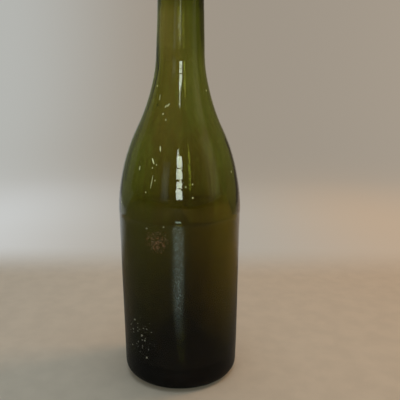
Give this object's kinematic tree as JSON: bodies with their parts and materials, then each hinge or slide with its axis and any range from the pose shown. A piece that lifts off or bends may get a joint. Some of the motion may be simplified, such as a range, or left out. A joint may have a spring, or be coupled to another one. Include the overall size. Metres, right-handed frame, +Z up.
{
  "type": "wine bottle",
  "caption": "Antique mould-blown wine bottle of olive-green glass, with sloping shoulders, a deep push-up in the base, an applied lip band and a cork that lifts out of the neck.",
  "frame": {"origin": "on the axis of the bottle, in the plane that it stands on", "axes": "+Z up the axis of the bottle, towards the mouth"},
  "size_m": [0.084, 0.084, 0.314],
  "materials": {
    "green_glass": "olive-green bottle glass, fire-polished on the shoulder and neck, dull from the mould below",
    "cork": "bare cork with open pores"
  },
  "bodies": {
    "bottle": {"blown_bottle": "green_glass", "applied_lip": "green_glass"},
    "stopper": {"cork_stopper": "cork"}
  },
  "joints": [
    {"name": "cork_pull", "type": "slide", "parent": "bottle", "child": "stopper", "axis": [0, 0, 1], "range_m": [0, 0.06]}
  ]
}
